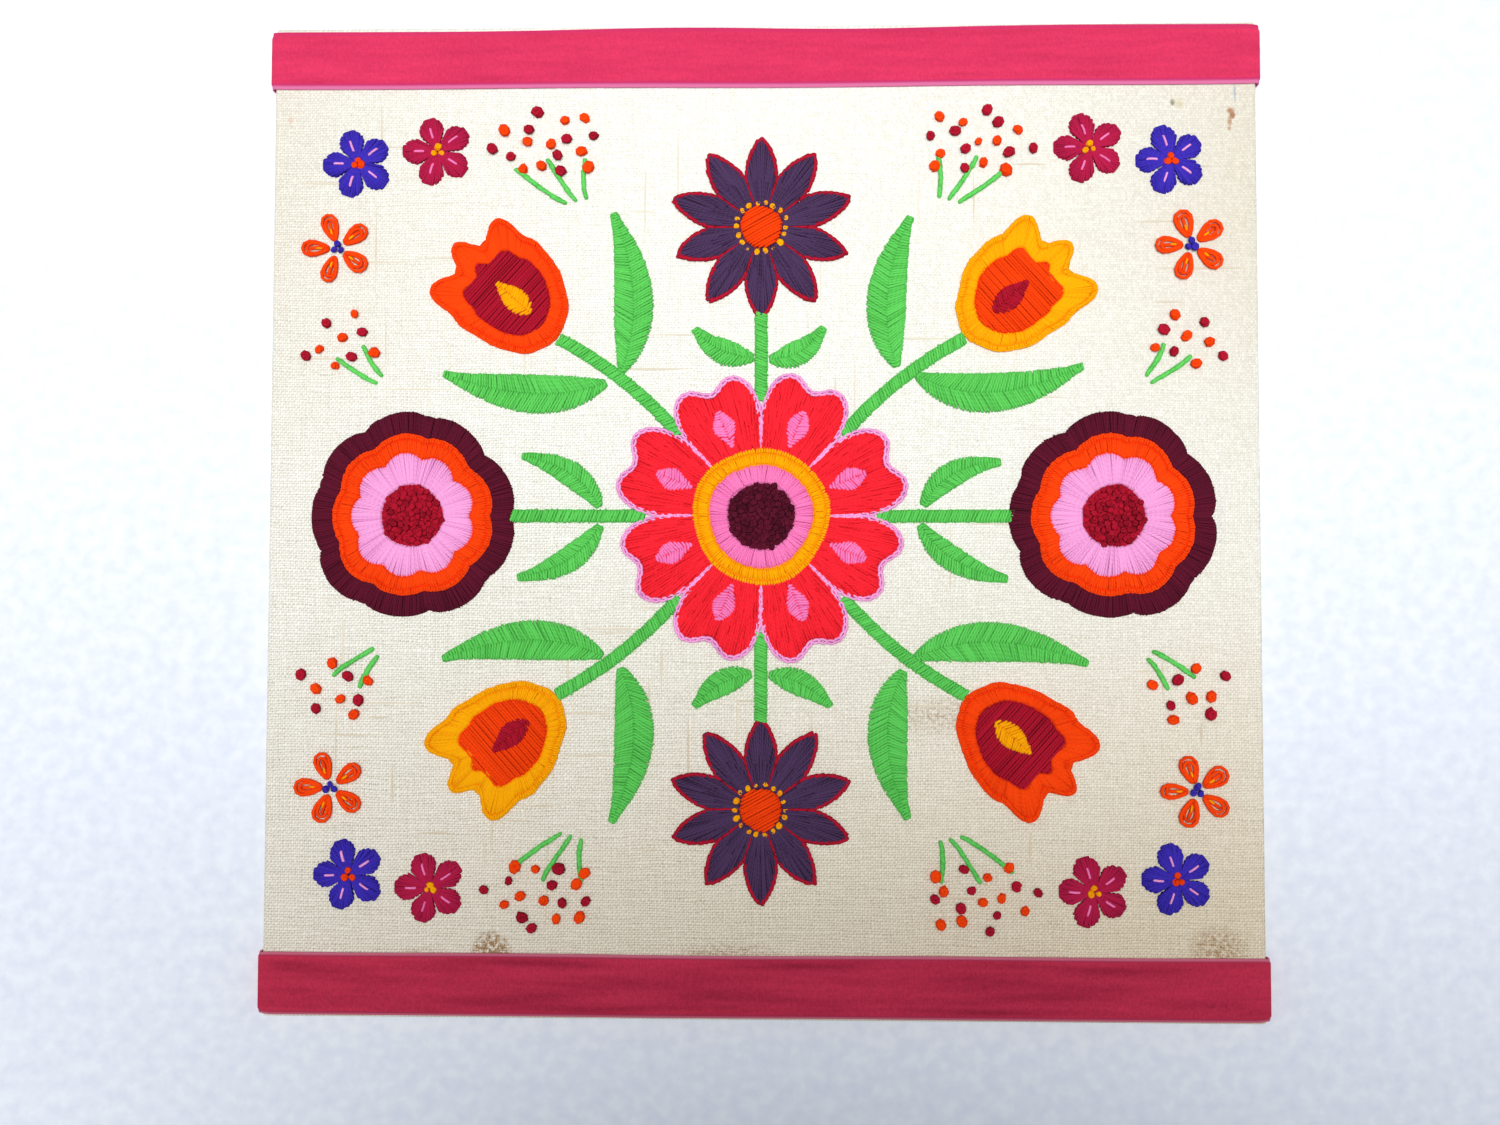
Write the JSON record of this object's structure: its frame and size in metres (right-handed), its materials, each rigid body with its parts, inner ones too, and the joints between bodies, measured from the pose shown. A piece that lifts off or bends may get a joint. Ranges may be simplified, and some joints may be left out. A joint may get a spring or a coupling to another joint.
{
  "type": "embroidered linen panel with velvet ribbon",
  "caption": "Square linen panel, stretched flat, with raised wool flower embroidery and a velvet ribbon wrapped round its top and bottom ends.",
  "frame": {"origin": "middle of the panel, on the surface that its back lies on", "axes": "X across the panel to the right, Y up the picture, Z out of the embroidered face"},
  "size_m": [0.4064, 0.404, 0.0092],
  "materials": {
    "linen": "natural plain-weave linen with slubs",
    "velvet_ribbon": "cut-pile velvet with a paler selvedge",
    "coral_wool": "matt twisted wool yarn",
    "crimson_wool": "matt twisted wool yarn",
    "maroon_wool": "matt twisted wool yarn",
    "magenta_wool": "matt twisted wool yarn",
    "pink_wool": "matt twisted wool yarn",
    "lavender_wool": "matt twisted wool yarn",
    "orange_wool": "matt twisted wool yarn",
    "golden_wool": "matt twisted wool yarn",
    "aubergine_wool": "matt twisted wool yarn",
    "violet_wool": "matt twisted wool yarn",
    "green_wool": "matt twisted wool yarn"
  },
  "bodies": {
    "root": {"linen_panel": "linen", "ribbon_top": "velvet_ribbon", "ribbon_bottom": "velvet_ribbon", "rosette": "coral_wool", "aster_north": "aubergine_wool", "stem_north": "green_wool", "leaf_north_left": "green_wool", "leaf_north_right": "green_wool", "aster_south": "aubergine_wool", "stem_south": "green_wool", "leaf_south_left": "green_wool", "leaf_south_right": "green_wool", "cockade_east": "maroon_wool", "stem_east": "green_wool", "leaf_east_upper": "green_wool", "leaf_east_lower": "green_wool", "cockade_west": "maroon_wool", "stem_west": "green_wool", "leaf_west_upper": "green_wool", "leaf_west_lower": "green_wool", "tulip_ne": "golden_wool", "stem_ne": "green_wool", "leaf_ne_inner": "green_wool", "leaf_ne_outer": "green_wool", "floret_ne_corner": "violet_wool", "floret_ne_upper": "magenta_wool", "floret_ne_side": "orange_wool", "tulip_nw": "orange_wool", "stem_nw": "green_wool", "leaf_nw_inner": "green_wool", "leaf_nw_outer": "green_wool", "floret_nw_corner": "violet_wool", "floret_nw_upper": "magenta_wool", "floret_nw_side": "orange_wool", "tulip_sw": "golden_wool", "stem_sw": "green_wool", "leaf_sw_inner": "green_wool", "leaf_sw_outer": "green_wool", "floret_sw_corner": "violet_wool", "floret_sw_upper": "magenta_wool", "floret_sw_side": "orange_wool", "tulip_se": "orange_wool", "stem_se": "green_wool", "leaf_se_inner": "green_wool", "leaf_se_outer": "green_wool", "floret_se_corner": "violet_wool", "floret_se_upper": "magenta_wool", "floret_se_side": "orange_wool"}
  },
  "joints": []
}
